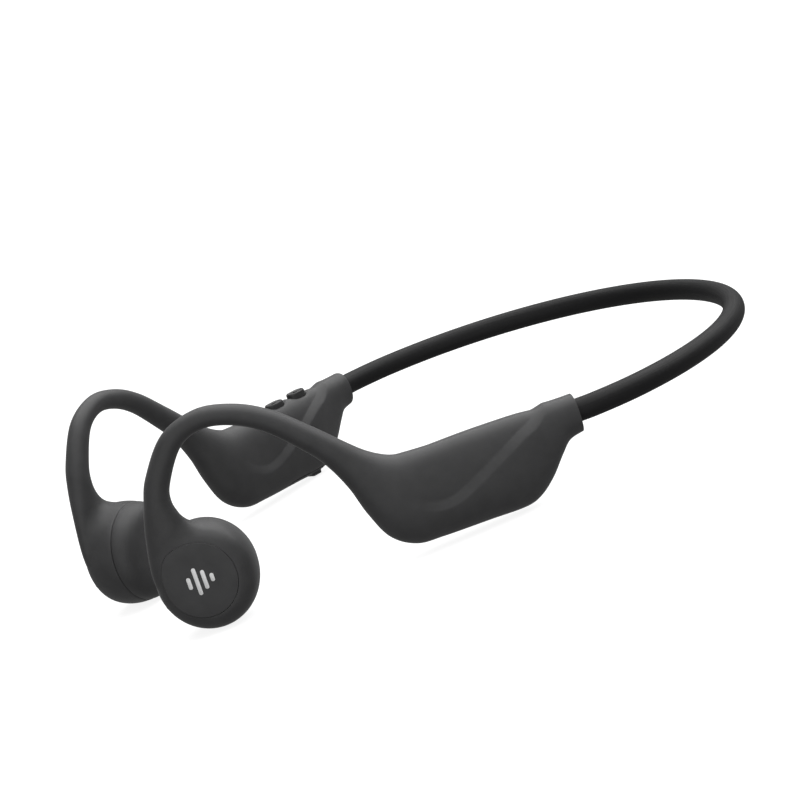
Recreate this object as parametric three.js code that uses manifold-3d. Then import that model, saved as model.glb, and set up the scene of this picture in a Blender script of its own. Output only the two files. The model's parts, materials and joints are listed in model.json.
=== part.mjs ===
// Bone conduction headphones: a sprung neckband that carries two arms.
// Each arm is one silicone skin over a rigid two-part housing, an ear hook and a transducer pod.
//
// Units are millimetres. +X is the wearer's left, -Y is the way the wearer faces, +Z is up.
// Each arm is drawn in its own frame: x is outward from the head, y runs rearwards along the
// arm and z is up, with the origin in the middle of the collar's end face. The ear hook leans
// inwards, so a place on the arm is given as (along, up, out): along y, up z, and out from
// the arm's curved middle sheet.

import * as THREE from 'three';
import { mergeVertices } from 'three/addons/utils/BufferGeometryUtils.js';
import Module from 'manifold-3d';

const wasm = await Module();
wasm.setup();

// ---- driving dimensions ----

const BAND_RADIUS = 57.4;
const BAND_CENTRE_Y = 9.3;
const SLEEVE_RADIUS = 2.5;
const SLEEVE_BORE = 1.6;
const SLEEVE_IN_COLLAR = 3;
const FLEX_ANGLE = 45;
const FLEX_GAP = 1;
const WIRE_RADIUS = 0.5;
const CABLE_RADIUS = 0.4;
const WIRE_OFFSET = 0.62;
const WIRE_IN_COLLAR = 6.4;
const CABLE_IN_COLLAR = 6.9;
const BAND_STRAIGHT = 4.2;

const COLLAR_X = 55.4;
const COLLAR_Y = -2.5;
const COLLAR_HOLE = 2.75;
const TOE_IN = THREE.MathUtils.degToRad(16.7);
const HOOK_LEAN = 0.25;
const HOOK_BEND_AT = -57;
const HOOK_BEND_ROUND = 6;
const HOOK_BORE = 1.55;
const COLLAR_HOLE_DEPTH = 3.5;
const FERRULE = { radius: 2.2, bore: 1.4, length: 2.6, rearEnd: -4.2 };

const SKIN_WALL = 1.0;
const SHELL_WALL = 0.8;
const GAP = 0.3;

const POD = { along: -83.7, up: -7.3, narrowing: 0.945 };
const POD_RADIUS = 11.6;
const POD_FACE = 2.8;
const POD_SEAM = -7.0;
const CONTACT_FACE = -11.4;
const BUTTON_OVAL = { along: -84.3, up: -6.8, halfLength: 7.5, halfHeight: 8.1 };

const VOLUME_BUTTON = { length: 5.0, width: 3.2, top: 5.0, bottom: 1.5 };
const VOLUME_UP_AT = -14.6;
const VOLUME_DOWN_AT = -22;

const PORT = { from: -27, to: -16, halfWidth: 2.8, roof: -14.1 };
const PORT_SLOT = { length: 9.4, width: 3.6, height: 4 };
const PORT_MIDDLE = (PORT.from + PORT.to) / 2;
const CONNECTOR = { length: 9, width: 3.2, wall: 0.3, depth: 6.2, mouthDepth: 5.3, face: -12.2 };

// Blocks inside the arms: from and to along the arm, then up, then out.
const BLOCKS = {
  battery: [-35, -14.5, -10.8, -2.0, -2.1, 2.1],
  batteryBoard: [-34, -17, -1.3, 1.2, -0.4, 0.4],
  mainBoard: [-37, -11, -5.6, -1.3, -0.4, 0.4],
  bluetoothChip: [-35, -29.5, -5.2, -1.8, 0.7, 1.7],
  chargingChip: [-18, -15, -4.9, -2.1, 0.7, 1.5],
  microphone: [-40.2, -37.6, -4.6, -2.4, -0.7, 0.7],
  connectorTongue: [PORT_MIDDLE - 3.2, PORT_MIDDLE + 3.2, -11.6, -6.6, -0.35, 0.35],
  coverLip: [PORT.to - 2.8, PORT.to - 0.1, -15.9, -14.8, -1.7, 1.7],
};
const VOLUME_SWITCH = {
  halfLength: 1.8, bottom: -0.9, top: 0.6, halfWidth: 1.3,
  plungerHalf: 0.7, plungerBottom: 0.5, plungerTop: 1.1,
};
const POD_SWITCH = { side: 4.2, middle: -0.85, plungerSide: 1.8, plungerMiddle: -0.05, height: 1.1 };
const POD_BOARD = { length: 13, width: 8, thickness: 0.6, inner: -2.4 };

// The whole is pitched so that both pods and both housings touch the surface it rests on, and
// moved so that its origin is the middle of the base.
const REST_PITCH = THREE.MathUtils.degToRad(2.5);
const REST_PLACE = new THREE.Vector3(0, 10.52, 15.43);

// Outline of the arm from the pod's lower edge, over the ear hook, to the collar. Each row is
// the outer (upper) edge, the inner (lower) edge, half the thickness and the squareness of
// the section, where 2 is an ellipse.
const ARM_STATIONS = [
  [-93.0, -11.5, -85.5, -11.5, 2.3, 2],
  [-93.9, -4.0, -84.9, -4.0, 2.6, 2],
  [-92.4, 5.2, -84.0, 5.0, 2.75, 2],
  [-90.6, 11.4, -85.0, 10.2, 2.75, 2],
  [-88.3, 16.9, -83.9, 14.3, 2.6, 2],
  [-82.5, 24.3, -79.5, 20.7, 2.35, 2],
  [-74.6, 27.3, -74.2, 22.9, 2.2, 2],
  [-66.8, 26.0, -68.4, 21.8, 2.2, 2],
  [-59.9, 22.3, -62.7, 18.5, 2.35, 2],
  [-53.3, 16.4, -57.1, 12.8, 2.65, 2],
  [-49.2, 12.3, -53.3, 7.9, 2.95, 2],
  [-45.2, 8.4, -50.3, 1.6, 3.4, 2.05],
  [-42.0, 6.1, -48.3, -5.0, 4.1, 2.15],
  [-39.3, 4.9, -45.4, -11.2, 4.7, 2.25],
  [-36.5, 4.35, -40.6, -14.5, 5.0, 2.4],
  [-33.0, 4.3, -34.5, -15.05, 5.1, 2.5],
  [-24.0, 4.15, -24.5, -15.25, 5.2, 2.5],
  [-16.0, 4.0, -16.4, -15.4, 5.1, 2.5],
  [-12.0, 3.9, -12.6, -14.3, 4.7, 2.5],
  [-8.5, 3.85, -9.0, -11.5, 4.2, 2.5],
  [-5.3, 3.85, -5.6, -7.6, 3.75, 2.4],
  [-3.0, 3.85, -3.2, -5.3, 3.5, 2.3],
  [0.0, 3.8, 0.1, -4.5, 3.35, 2.3],
];

// Rows of the outline, counted from 0, where each stretch of the arm starts and ends.
const HOOK_END = 13;
const CAVITY_FROM = 13;
const CAVITY_TO = 21;
const SHELL_FROM = 13.12;
const SHELL_TO = 19;
const SHELL_END_WALL = 0.25;
const SHELL_REAR_HOLE = { radius: 1.7, length: 6, along: -9.5 };

const ARM_SIDES = 14;
const HOUSING_SIDES = 12;

// ---- solids ----

function toSolid(geometry) {
  const bare = geometry.clone();
  bare.deleteAttribute('normal');
  bare.deleteAttribute('uv');
  const merged = mergeVertices(bare, 1e-4);
  const mesh = new wasm.Mesh({
    numProp: 3,
    vertProperties: new Float32Array(merged.attributes.position.array),
    triVerts: new Uint32Array(merged.index.array),
  });
  return new wasm.Manifold(mesh);
}

function toGeometry(solid) {
  const mesh = solid.getMesh();
  const geometry = new THREE.BufferGeometry();
  geometry.setAttribute('position', new THREE.Float32BufferAttribute(mesh.vertProperties, 3));
  geometry.setIndex(Array.from(mesh.triVerts));
  geometry.computeVertexNormals();
  return geometry;
}

function cut(geometry, ...cutters) {
  const left = cutters.reduce((solid, cutter) => solid.subtract(toSolid(cutter)), toSolid(geometry));
  return toGeometry(left);
}

function join(first, ...others) {
  return toGeometry(others.reduce((solid, other) => solid.add(toSolid(other)), toSolid(first)));
}

function common(first, second) {
  return toGeometry(toSolid(first).intersect(toSolid(second)));
}

// Turns a closed surface's faces outwards if they face in.
function facingOut(geometry) {
  const surface = geometry.index ? geometry : mergeVertices(geometry);
  const place = surface.attributes.position;
  const index = surface.index.array;
  const corner = (k) => new THREE.Vector3().fromBufferAttribute(place, index[k]);
  let volume = 0;
  for (let k = 0; k < index.length; k += 3) {
    volume += corner(k).dot(corner(k + 1).cross(corner(k + 2)));
  }
  if (volume < 0) reverseFaces(index);
  return surface;
}

function reverseFaces(index) {
  for (let k = 0; k < index.length; k += 3) {
    [index[k], index[k + 1]] = [index[k + 1], index[k]];
  }
}

// A skin through closed rings of points, with a flat cap at each end.
function loft(rings) {
  const count = rings[0].length;
  const positions = rings.flat().flatMap((point) => point.toArray());
  const index = [];
  for (let row = 0; row < rings.length - 1; row += 1) {
    for (let k = 0; k < count; k += 1) {
      const next = (k + 1) % count;
      const a = row * count + k;
      const b = row * count + next;
      index.push(a, b, b + count, a, b + count, a + count);
    }
  }
  const last = (rings.length - 1) * count;
  for (let k = 1; k < count - 1; k += 1) {
    index.push(0, k + 1, k);
    index.push(last, last + k, last + k + 1);
  }
  const geometry = new THREE.BufferGeometry();
  geometry.setAttribute('position', new THREE.Float32BufferAttribute(positions, 3));
  geometry.setIndex(index);
  return facingOut(geometry);
}

function flipped(geometry) {
  const copy = geometry.index ? geometry.clone() : mergeVertices(geometry);
  copy.scale(-1, 1, 1);
  reverseFaces(copy.index.array);
  return copy;
}

// ---- places on an arm ----

function sheetAt(along) {
  const ahead = HOOK_BEND_AT - along;
  const root = Math.hypot(ahead, HOOK_BEND_ROUND);
  const slope = HOOK_LEAN / 2 * (1 + ahead / root);
  const length = Math.hypot(1, slope);
  return {
    x: -HOOK_LEAN / 2 * (ahead + root),
    rearwards: new THREE.Vector3(slope / length, 1 / length, 0),
    outwards: new THREE.Vector3(1 / length, -slope / length, 0),
  };
}

function armPoint(along, up, out = 0) {
  const sheet = sheetAt(along);
  return new THREE.Vector3(sheet.x, along, up).addScaledVector(sheet.outwards, out);
}

// Moves a geometry drawn with x rearwards, y up and z outwards to a place on the arm.
function onArm(geometry, along, up, out = 0) {
  const sheet = sheetAt(along);
  const matrix = new THREE.Matrix4().makeBasis(
    sheet.rearwards, new THREE.Vector3(0, 0, 1), sheet.outwards);
  matrix.setPosition(armPoint(along, up, out));
  return geometry.applyMatrix4(matrix);
}

function armBox(fromAlong, toAlong, fromUp, toUp, fromOut, toOut) {
  const box = new THREE.BoxGeometry(toAlong - fromAlong, toUp - fromUp, toOut - fromOut);
  return onArm(box, (fromAlong + toAlong) / 2, (fromUp + toUp) / 2, (fromOut + toOut) / 2);
}

function sectionRing(station, wall, sides) {
  const [outerAlong, outerUp, innerAlong, innerUp, half, squareness] = station;
  const halfAlong = (outerAlong - innerAlong) / 2;
  const halfUp = (outerUp - innerUp) / 2;
  const keep = 1 - wall / Math.hypot(halfAlong, halfUp);
  const points = [];
  for (let k = 0; k < sides; k += 1) {
    const angle = 2 * Math.PI * k / sides;
    const across = Math.sign(Math.cos(angle)) * Math.abs(Math.cos(angle)) ** (2 / squareness);
    const height = Math.sign(Math.sin(angle)) * Math.abs(Math.sin(angle)) ** (2 / squareness);
    points.push(armPoint(
      (outerAlong + innerAlong) / 2 + halfAlong * height * keep,
      (outerUp + innerUp) / 2 + halfUp * height * keep,
      across * (half - wall)));
  }
  return points;
}

// Stations from one row of the outline to another, with smooth steps between the rows.
function stationsBetween(from, to, stepsPerRow = 1) {
  const outer = new THREE.CatmullRomCurve3(
    ARM_STATIONS.map((row) => new THREE.Vector3(row[0], row[1], row[4])), false, 'catmullrom');
  const inner = new THREE.CatmullRomCurve3(
    ARM_STATIONS.map((row) => new THREE.Vector3(row[2], row[3], row[5])), false, 'catmullrom');
  const stations = [];
  const steps = Math.round((to - from) * stepsPerRow);
  for (let step = 0; step <= steps; step += 1) {
    const place = (from + (to - from) * step / steps) / (ARM_STATIONS.length - 1);
    const a = outer.getPoint(place);
    const b = inner.getPoint(place);
    stations.push([a.x, a.y, b.x, b.y, a.z, b.z]);
  }
  return stations;
}

function armLoft(stations, wall, sides) {
  return loft(stations.map((row) => sectionRing(row, wall, sides)));
}

function armOutside() {
  const stations = [
    ...stationsBetween(0, HOOK_END - 1, 2),
    ...stationsBetween(HOOK_END, ARM_STATIONS.length - 1),
  ];
  return armLoft(stations, 0, ARM_SIDES);
}

// The middle line of the ear hook, moved sideways in the arm's sheet by an offset.
function hookPath(from, to, offset) {
  const points = stationsBetween(from, to).map((row) => {
    const direction = new THREE.Vector2(row[0] - row[2], row[1] - row[3]).normalize();
    return armPoint(
      (row[0] + row[2]) / 2 + direction.x * offset,
      (row[1] + row[3]) / 2 + direction.y * offset);
  });
  return new THREE.CatmullRomCurve3(points);
}

function roundShape(radius) {
  return new THREE.Shape().absarc(0, 0, radius, 0, 2 * Math.PI);
}

function ovalShape(length, width) {
  const radius = width / 2;
  const reach = (length - width) / 2;
  const shape = new THREE.Shape();
  shape.absarc(reach, 0, radius, -Math.PI / 2, Math.PI / 2);
  shape.absarc(-reach, 0, radius, Math.PI / 2, 3 * Math.PI / 2);
  return shape;
}

function tube(path, radius, steps, sides, bore = 0) {
  const shape = roundShape(radius);
  if (bore > 0) shape.holes.push(new THREE.Path().absarc(0, 0, bore, 0, 2 * Math.PI));
  return new THREE.ExtrudeGeometry(shape, { extrudePath: path, steps, curveSegments: sides });
}

function slab(shape, depth, curveSegments = 6) {
  return new THREE.ExtrudeGeometry(shape, { depth, bevelEnabled: false, curveSegments });
}

// A turned piece on the pod's axis. Each profile point is (radius, out).
function turned(profile, segments = 20) {
  const points = profile.map(([radius, out]) => new THREE.Vector2(radius, out));
  const geometry = new THREE.LatheGeometry(points, segments);
  geometry.rotateX(Math.PI / 2);
  geometry.scale(POD.narrowing, 1, 1);
  return facingOut(onArm(geometry, POD.along, POD.up));
}

function disc(radius, fromOut, toOut, segments = 14) {
  return turned([[0, fromOut], [radius, fromOut], [radius, toOut], [0, toOut]], segments);
}

function washer(innerRadius, outerRadius, fromOut, toOut, segments = 16) {
  return turned([
    [innerRadius, fromOut], [outerRadius, fromOut], [outerRadius, toOut],
    [innerRadius, toOut], [innerRadius, fromOut],
  ], segments);
}

// ---- materials ----

function finish(color, roughness, metalness = 0) {
  return new THREE.MeshStandardMaterial({ color, roughness, metalness });
}

const SILICONE = finish(0x383838, 0.6);
const SLEEVE = finish(0x242424, 0.5);
const CASING = finish(0x2b2b2d, 0.55);
const STEEL = finish(0xa8abad, 0.35, 1);
const TITANIUM = finish(0x8d8f92, 0.4, 1);
const COPPER = finish(0xb87333, 0.4, 1);
const BOARD = finish(0x1d5a37, 0.5);
const CHIP = finish(0x17181a, 0.45);
const POUCH = finish(0xb4b7ba, 0.35, 0.8);
const RUBBER = finish(0x1c1c1c, 0.8);
const CABLE = finish(0x303236, 0.6);

// ---- the arm, drawn for the wearer's left ----

function podSolid() {
  return turned([
    [0, POD_FACE], [8.2, POD_FACE], [9.8, 2.0], [10.9, 0.6], [11.4, -1.2],
    [POD_RADIUS, -3.5], [11.1, POD_SEAM], [0, POD_SEAM],
  ]);
}

function podCavity() {
  return turned([
    [0, 1.5], [8.4, 1.5], [9.6, 0.2], [10.1, -1.8], [10.0, POD_SEAM - 1], [0, POD_SEAM - 1],
  ]);
}

function collarHole() {
  const hole = new THREE.CylinderGeometry(COLLAR_HOLE, COLLAR_HOLE, 2 * COLLAR_HOLE_DEPTH, 16);
  return hole;
}

function armSkin() {
  const outside = join(armOutside(), podSolid());
  const housingCavity = armLoft(
    stationsBetween(CAVITY_FROM, CAVITY_TO), SKIN_WALL, HOUSING_SIDES);
  const bore = tube(hookPath(1, HOOK_END + 1, 0), HOOK_BORE, 22, 3);
  return cut(outside, housingCavity, podCavity(), bore, collarHole());
}

function housingShell(side) {
  const outside = armLoft(
    stationsBetween(SHELL_FROM, SHELL_TO), SKIN_WALL + GAP, HOUSING_SIDES);
  const inside = armLoft(
    stationsBetween(SHELL_FROM + SHELL_END_WALL, SHELL_TO - SHELL_END_WALL),
    SKIN_WALL + GAP + SHELL_WALL, HOUSING_SIDES);
  const [from, to] = side > 0 ? [GAP / 2, 8] : [-8, -GAP / 2];
  const half = armBox(-60, 0, -20, 10, from, to);
  const frontHole = tube(hookPath(HOOK_END - 2, HOOK_END + 1, 0), HOOK_BORE, 6, 4);
  const { radius, length, along } = SHELL_REAR_HOLE;
  const rearHole = new THREE.CylinderGeometry(radius, radius, length, 10);
  rearHole.translate(0, along, 0);
  return common(cut(outside, inside, frontHole, rearHole), half);
}

function hookWire() {
  return tube(hookPath(2, HOOK_END, -WIRE_OFFSET), WIRE_RADIUS, 18, 3);
}

function hookCable() {
  return tube(hookPath(2, HOOK_END, WIRE_OFFSET), CABLE_RADIUS, 18, 3);
}

function collarFerrule() {
  const ring = slab(roundShape(FERRULE.radius), FERRULE.length, 6);
  ring.rotateX(Math.PI / 2);
  ring.translate(0, FERRULE.rearEnd, 0);
  const hole = new THREE.CylinderGeometry(FERRULE.bore, FERRULE.bore, 2 * FERRULE.length, 12);
  hole.translate(0, FERRULE.rearEnd - FERRULE.length / 2, 0);
  return cut(ring, hole);
}

// ---- the transducer, the same on both sides ----

function contactCap() {
  return turned([
    [0, -10.3], [7.6, -10.2], [9.0, -9.4], [9.8, -8.2], [9.9, POD_SEAM - GAP],
    [11.0, POD_SEAM - GAP], [10.6, -8.6], [9.6, -10.1], [8.2, -11.0],
    [6.6, CONTACT_FACE], [0, CONTACT_FACE],
  ]);
}

const TRANSDUCER = {
  contact_cap: { build: contactCap, material: SILICONE },
  cap_gasket: { build: () => washer(9.1, 9.6, -8.1, -5.9), material: RUBBER },
  driver_frame: { build: () => washer(7.1, 8.7, -8.8, -3.2), material: CASING },
  driver_yoke: {
    build: () => turned([
      [0, -3.5], [6.6, -3.5], [6.6, -7.4], [6.0, -7.4], [6.0, -4.1], [0, -4.1],
    ]),
    material: STEEL,
  },
  driver_magnet: { build: () => disc(4.5, -7.2, -4.4), material: STEEL },
  voice_coil: { build: () => washer(5.0, 5.5, -8.1, -4.8), material: COPPER },
  coil_former: { build: () => disc(5.8, -8.9, -8.4), material: CASING },
  suspension: { build: () => washer(2.4, 8.4, -9.6, -9.3), material: STEEL },
};

// ---- pieces that only one arm has ----

function buttonOval(grow, fromOut, toOut) {
  const shape = new THREE.Shape();
  const oval = BUTTON_OVAL;
  shape.absellipse(0, 0, oval.halfLength + grow, oval.halfHeight + grow, 0, 2 * Math.PI);
  return onArm(slab(shape, toOut - fromOut, 12), oval.along, oval.up, fromOut);
}

function multifunctionButton() {
  return buttonOval(0, 1.1, POD_FACE + 0.1);
}

function podBlock(side, height, middle) {
  return onArm(new THREE.BoxGeometry(side, side, height), POD.along, POD.up, middle);
}

function podBoard() {
  const board = slab(ovalShape(POD_BOARD.length, POD_BOARD.width), POD_BOARD.thickness);
  return onArm(board, POD.along, POD.up, POD_BOARD.inner);
}

function volumeHole(along) {
  const hole = slab(
    ovalShape(VOLUME_BUTTON.length + 2 * GAP, VOLUME_BUTTON.width + 2 * GAP), 8);
  hole.rotateX(-Math.PI / 2);
  return onArm(hole, along, 0);
}

function volumeButton(along) {
  const { length, width, top, bottom } = VOLUME_BUTTON;
  const button = slab(ovalShape(length, width), top - bottom);
  button.rotateX(-Math.PI / 2);
  return onArm(button, along, bottom);
}

function volumeSwitch(along) {
  const { halfLength, bottom, top, halfWidth, plungerHalf, plungerBottom, plungerTop } = VOLUME_SWITCH;
  const body = armBox(
    along - halfLength, along + halfLength, bottom, top, -halfWidth, halfWidth);
  const plunger = armBox(
    along - plungerHalf, along + plungerHalf, plungerBottom, plungerTop,
    -plungerHalf, plungerHalf);
  return join(body, plunger);
}

// The cover's outline as a block that reaches through the housing's underside.
function portBlock(grow) {
  const half = PORT.halfWidth + grow;
  return armBox(PORT.from - grow, PORT.to + grow, -20, PORT.roof + grow, -half, half);
}

function portSlot() {
  const slot = slab(ovalShape(PORT_SLOT.length, PORT_SLOT.width), PORT_SLOT.height);
  slot.rotateX(-Math.PI / 2);
  return onArm(slot, PORT_MIDDLE, PORT.roof - 1);
}

function chargePortCover() {
  return join(common(armOutside(), portBlock(0)), armBox(...BLOCKS.coverLip));
}

function chargeConnector() {
  const { length, width, wall, depth, mouthDepth, face } = CONNECTOR;
  const shell = slab(ovalShape(length, width), depth);
  const mouth = slab(ovalShape(length - 2 * wall, width - 2 * wall), mouthDepth + 1);
  shell.rotateX(-Math.PI / 2);
  mouth.rotateX(-Math.PI / 2);
  onArm(shell, PORT_MIDDLE, face);
  onArm(mouth, PORT_MIDDLE, face - 1);
  return join(cut(shell, mouth), armBox(...BLOCKS.connectorTongue));
}

// ---- the neckband ----

// Points of the band's middle line, from an angle left of the rear centre to another.
function bandArc(fromAngle, toAngle, height) {
  const points = [];
  const count = Math.max(2, Math.round(Math.abs(toAngle - fromAngle) / 7.5));
  for (let k = 0; k <= count; k += 1) {
    const angle = THREE.MathUtils.degToRad(fromAngle + (toAngle - fromAngle) * k / count);
    points.push(new THREE.Vector3(
      BAND_RADIUS * Math.sin(angle), BAND_CENTRE_Y + BAND_RADIUS * Math.cos(angle), height));
  }
  return points;
}

function collarAxisPoint(side, along, height) {
  return new THREE.Vector3(
    side * (COLLAR_X + along * Math.sin(TOE_IN)), COLLAR_Y + along * Math.cos(TOE_IN), height);
}

// The stretch on one side: round the arc, then straight into the collar to a given depth.
function bandSidePath(side, depth, height) {
  const gapAngle = THREE.MathUtils.radToDeg(FLEX_GAP / 2 / BAND_RADIUS);
  const points = bandArc(FLEX_ANGLE + gapAngle, 90, height);
  points.forEach((point) => { point.x *= side; });
  points.push(collarAxisPoint(side, BAND_STRAIGHT, height));
  points.push(collarAxisPoint(side, 0, height));
  points.push(collarAxisPoint(side, -depth, height));
  return new THREE.CatmullRomCurve3(points);
}

function bandRearPath(height) {
  const gapAngle = THREE.MathUtils.radToDeg(FLEX_GAP / 2 / BAND_RADIUS);
  return new THREE.CatmullRomCurve3(
    bandArc(FLEX_ANGLE - gapAngle, gapAngle - FLEX_ANGLE, height));
}

// ---- assembly ----

const headphones = new THREE.Group();
headphones.rotation.x = -REST_PITCH;
headphones.position.copy(REST_PLACE);

function place(parent, name, geometry, material) {
  const mesh = new THREE.Mesh(geometry, material);
  mesh.name = name;
  parent.add(mesh);
}

function addArm(sideName, pieces) {
  const side = sideName === 'left' ? 1 : -1;
  const arm = new THREE.Group();
  arm.position.set(side * COLLAR_X, COLLAR_Y, 0);
  arm.rotation.z = -side * TOE_IN;
  headphones.add(arm);
  for (const [name, { build, material }] of Object.entries(pieces)) {
    place(arm, name, side > 0 ? build() : flipped(build()), material);
  }
}

function commonPieces(sideName, skinCuts, shellCuts) {
  const pieces = {
    arm_skin: { build: () => cut(armSkin(), ...skinCuts()), material: SILICONE },
    housing_shell_outer: { build: () => cut(housingShell(1), ...shellCuts()), material: CASING },
    housing_shell_inner: { build: () => cut(housingShell(-1), ...shellCuts()), material: CASING },
    hook_wire: { build: hookWire, material: TITANIUM },
    hook_cable: { build: hookCable, material: CABLE },
    collar_ferrule: { build: collarFerrule, material: STEEL },
    ...TRANSDUCER,
  };
  return Object.fromEntries(
    Object.entries(pieces).map(([name, piece]) => [`${sideName}_${name}`, piece]));
}

const LEFT_PIECES = {
  ...commonPieces('left', () => [buttonOval(GAP, 0, 6)], () => []),
  multifunction_button: { build: multifunctionButton, material: SILICONE },
  multifunction_switch: {
    build: () => join(
      podBlock(POD_SWITCH.side, POD_SWITCH.height, POD_SWITCH.middle),
      podBlock(POD_SWITCH.plungerSide, POD_SWITCH.height, POD_SWITCH.plungerMiddle)),
    material: CHIP,
  },
  multifunction_board: { build: podBoard, material: BOARD },
  battery: { build: () => armBox(...BLOCKS.battery), material: POUCH },
  battery_board: { build: () => armBox(...BLOCKS.batteryBoard), material: BOARD },
};

const RIGHT_PIECES = {
  ...commonPieces(
    'right',
    () => [volumeHole(VOLUME_UP_AT), volumeHole(VOLUME_DOWN_AT), portBlock(GAP)],
    () => [volumeHole(VOLUME_UP_AT), volumeHole(VOLUME_DOWN_AT), portBlock(GAP), portSlot()]),
  volume_up_button: { build: () => volumeButton(VOLUME_UP_AT), material: RUBBER },
  volume_down_button: { build: () => volumeButton(VOLUME_DOWN_AT), material: RUBBER },
  volume_up_switch: { build: () => volumeSwitch(VOLUME_UP_AT), material: CHIP },
  volume_down_switch: { build: () => volumeSwitch(VOLUME_DOWN_AT), material: CHIP },
  main_board: { build: () => armBox(...BLOCKS.mainBoard), material: BOARD },
  bluetooth_chip: { build: () => armBox(...BLOCKS.bluetoothChip), material: CHIP },
  charging_chip: { build: () => armBox(...BLOCKS.chargingChip), material: CHIP },
  microphone: { build: () => armBox(...BLOCKS.microphone), material: STEEL },
  charge_connector: { build: chargeConnector, material: STEEL },
  charge_port_cover: { build: chargePortCover, material: RUBBER },
};

// What runs along the band: its radius, bore, height above the band's middle line, and how far
// it reaches into the collar.
const BAND_TUBES = {
  sleeve: {
    radius: SLEEVE_RADIUS, bore: SLEEVE_BORE, height: 0, depth: SLEEVE_IN_COLLAR,
    sides: 5, material: SLEEVE,
  },
  wire: {
    radius: WIRE_RADIUS, bore: 0, height: -WIRE_OFFSET, depth: WIRE_IN_COLLAR,
    sides: 3, material: TITANIUM,
  },
  cable: {
    radius: CABLE_RADIUS, bore: 0, height: WIRE_OFFSET, depth: CABLE_IN_COLLAR,
    sides: 3, material: CABLE,
  },
};

function addBand() {
  for (const [name, { radius, bore, height, depth, sides, material }] of Object.entries(BAND_TUBES)) {
    const rear = tube(bandRearPath(height), radius, 14, sides, bore);
    const left = tube(bandSidePath(1, depth, height), radius, 11, sides, bore);
    const right = tube(bandSidePath(-1, depth, height), radius, 11, sides, bore);
    place(headphones, `neckband_${name}_rear`, rear, material);
    place(headphones, `neckband_${name}_left`, left, material);
    place(headphones, `neckband_${name}_right`, right, material);
  }
}

addBand();
addArm('left', LEFT_PIECES);
addArm('right', RIGHT_PIECES);

export default headphones;
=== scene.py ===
import json
import math

import bpy
import numpy as np
from mathutils import Matrix, Vector


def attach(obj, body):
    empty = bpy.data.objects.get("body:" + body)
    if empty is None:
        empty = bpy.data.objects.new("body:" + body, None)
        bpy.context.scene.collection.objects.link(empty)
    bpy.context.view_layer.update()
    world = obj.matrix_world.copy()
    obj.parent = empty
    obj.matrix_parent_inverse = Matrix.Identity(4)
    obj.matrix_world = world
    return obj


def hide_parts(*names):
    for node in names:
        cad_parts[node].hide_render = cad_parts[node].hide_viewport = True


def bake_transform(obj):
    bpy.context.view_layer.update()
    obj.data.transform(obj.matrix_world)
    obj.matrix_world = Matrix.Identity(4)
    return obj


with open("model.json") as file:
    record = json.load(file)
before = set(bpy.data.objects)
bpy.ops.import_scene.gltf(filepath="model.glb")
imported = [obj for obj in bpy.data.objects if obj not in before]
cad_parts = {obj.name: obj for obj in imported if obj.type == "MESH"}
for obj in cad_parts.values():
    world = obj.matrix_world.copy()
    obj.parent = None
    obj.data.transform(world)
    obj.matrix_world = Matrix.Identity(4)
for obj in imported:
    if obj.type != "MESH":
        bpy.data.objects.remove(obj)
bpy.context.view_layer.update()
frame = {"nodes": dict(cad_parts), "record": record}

# Lengths are in millimetres until a mesh is made, and metres after that. A place on an arm is
# (along, up, out): along runs rearwards to the collar's end at 0, up is up, and out is away
# from the head, measured from the arm's curved middle sheet.

MM = 0.001
STEP = 0.26

BAND_RADIUS = 57.4
BAND_CENTRE_Y = 9.3
SLEEVE_RADIUS = 2.5
SLEEVE_BORE = 1.6
SLEEVE_IN_COLLAR = 3
WIRE_RADIUS = 0.5
CABLE_RADIUS = 0.4
WIRE_OFFSET = 0.62
WIRE_IN_COLLAR = 6.4
CABLE_IN_COLLAR = 6.9
BAND_STRAIGHT = 4.2

COLLAR_X = 55.4
COLLAR_Y = -2.5
COLLAR_HOLE = 2.62
COLLAR_HOLE_DEPTH = 3.6
COLLAR_TRIM = {"length": 4, "half_width": 9}
TOE_IN = math.radians(16.7)
REST_PITCH = math.radians(2.5)
REST_PLACE = (0, 10.52, 15.43)

# The ear hook leans inwards: by this slope in the end, of which the pod has nearly all.
HOOK_LEAN = 0.25
HOOK_BEND_AT = -57
HOOK_BEND_ROUND = 6
LEAN_AT_POD = 0.99
HOOK_BORE = 1.55

POD_ALONG = -83.7
POD_UP = -7.3
POD_NARROWING = 0.945
POD_FACE = 2.8
POD_SEAM = -7.0
POD_END = -72
POD_FILLET = 4.5
POD_FILLET_FADES = (-6, 2)
SKIN_WALL = 1.0

SEAM_ROUND = 0.3
FACE_ROUND = 0.12
HOLE_ROUND = 0.2

BUTTON_OVAL = {"along": -84.3, "up": -6.8, "half_length": 7.5, "half_height": 8.1}
BUTTON_CORNER = {"angle": math.radians(133), "spread": 0.45, "swell": 0.1}
BUTTON_HOLE = (0.5, 6)
VOLUME_BUTTON = {"length": 5.0, "width": 3.2}
VOLUME_UP_AT = -14.6
VOLUME_DOWN_AT = -22
VOLUME_WELL_FLOOR = 1.2
DIMPLE_DEPTH = 0.22
DIMPLE_REACH = (0.1, 0.9)
DIMPLE_FADES = (1.5, 3.0)
SEAM = 0.06

PORT = {"from": -27, "to": -16, "half_width": 2.8, "roof": -14.1, "corner": 0.7}
COVER_LIP = {"length": 2.7, "inset": 0.1, "bottom": -15.9, "top": -14.8, "half_width": 1.7}
SOCKET = {"length": 9, "width": 3.2}
TONGUE = {"length": 6.4, "width": 0.7}

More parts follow.
